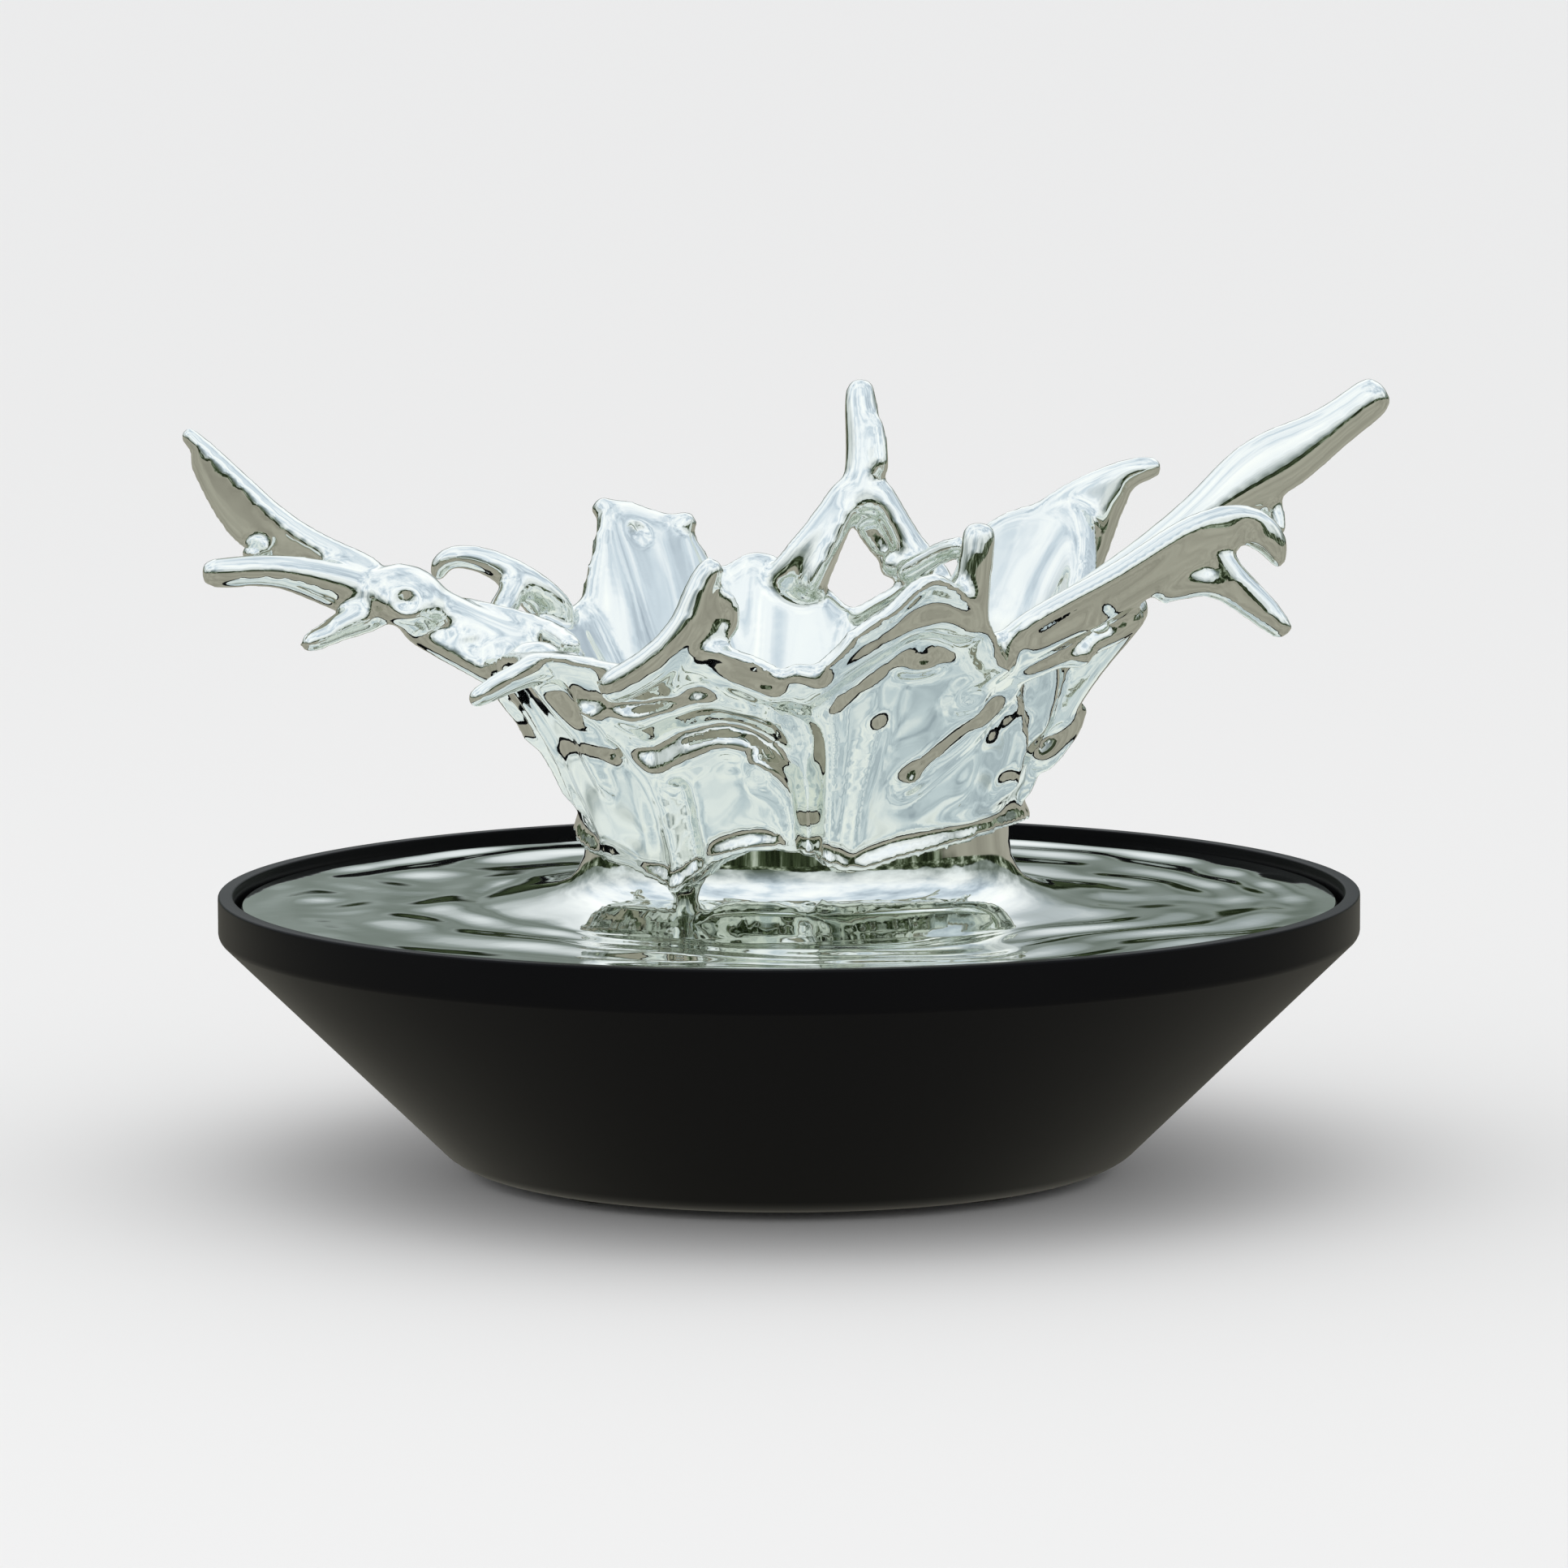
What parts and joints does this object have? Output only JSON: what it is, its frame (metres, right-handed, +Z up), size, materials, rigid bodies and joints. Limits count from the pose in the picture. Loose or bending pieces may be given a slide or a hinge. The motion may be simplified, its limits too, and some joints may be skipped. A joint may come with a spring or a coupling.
{
  "type": "tabletop water fountain",
  "caption": "Round tabletop water fountain: a splash-shaped polished metal crown on a disc, set in a conical black bowl that hides a small pump.",
  "frame": {"origin": "on the bowl's axis at the level that its feet stand on", "axes": "+Z up along the bowl's axis, -Y towards the viewer, +X to the viewer's right, along the splash's longest reach"},
  "size_m": [0.4756, 0.45, 0.3047],
  "materials": {
    "polished_steel": "mirror polished stainless steel with soft ripples and dents",
    "satin_black_resin": "satin black moulded resin",
    "rubber": "matt black rubber",
    "plain_steel": "plain stainless fasteners",
    "black_plastic": "fine moulded texture",
    "grey_plastic": "fine moulded texture",
    "magnet": "ferrite magnet",
    "ceramic": "ground ceramic",
    "clear_tube": "clear tube, slightly clouded",
    "lead_jacket": "satin black cable jacket"
  },
  "bodies": {
    "basin": {"bowl_shell": "satin_black_resin", "disc_bracket_1": "satin_black_resin", "disc_bracket_2": "satin_black_resin", "disc_bracket_3": "satin_black_resin", "foot_pad_1": "rubber", "foot_pad_2": "rubber", "foot_pad_3": "rubber", "foot_pad_4": "rubber", "disc_bumper_1": "rubber", "disc_bumper_2": "rubber", "disc_bumper_3": "rubber", "pump_seal": "rubber", "gland_seal": "rubber", "suction_cup_1": "rubber", "suction_cup_2": "rubber", "suction_cup_3": "rubber", "suction_cup_4": "rubber", "pump_motor": "black_plastic", "pump_volute": "black_plastic", "cable_gland": "black_plastic", "gland_nut": "grey_plastic", "impeller_shaft": "ceramic", "riser_tube": "clear_tube", "pump_lead": "lead_jacket"},
    "splash_top": {"water_disc": "polished_steel", "nozzle": "black_plastic", "nozzle_gasket": "rubber", "nozzle_nut": "grey_plastic", "crown_wall": "polished_steel", "foot_collar": "polished_steel", "splash_stud_1": "plain_steel", "splash_stud_2": "plain_steel", "splash_stud_3": "plain_steel", "splash_nut_1": "plain_steel", "splash_nut_2": "plain_steel", "splash_nut_3": "plain_steel", "left_stem": "polished_steel", "left_upper_arm": "polished_steel", "left_lower_arm": "polished_steel", "left_fork": "polished_steel", "left_hook": "polished_steel", "left_front_tongue": "polished_steel", "back_left_petal": "polished_steel", "back_centre_petal": "polished_steel", "back_spire": "polished_steel", "spire_left_leg": "polished_steel", "spire_right_leg": "polished_steel", "back_right_petal": "polished_steel", "right_long_arm": "polished_steel", "right_drop": "polished_steel", "right_front_arm": "polished_steel", "right_fork": "polished_steel", "right_side_tongue": "polished_steel", "front_left_blade": "polished_steel", "front_right_blade": "polished_steel"},
    "rotor": {"rotor_magnet": "magnet", "impeller": "grey_plastic"},
    "strainer": {"strainer_cover": "black_plastic"},
    "dial": {"flow_dial": "grey_plastic"}
  },
  "joints": [
    {"name": "splash_top_lift", "type": "slide", "parent": "basin", "child": "splash_top", "axis": [0, 0, 1], "range_m": [0, 0.15]},
    {"name": "rotor_spin", "type": "hinge", "parent": "basin", "child": "rotor", "pos_m": [0, 0, 0.0424], "axis": [1, 0, 0], "continuous": true},
    {"name": "strainer_pull", "type": "slide", "parent": "basin", "child": "strainer", "axis": [1, 0, 0], "range_m": [0, 0.03]},
    {"name": "dial_turn", "type": "hinge", "parent": "strainer", "child": "dial", "pos_m": [0.04, 0, 0.0424], "axis": [1, 0, 0], "range_deg": [0, 90]}
  ]
}
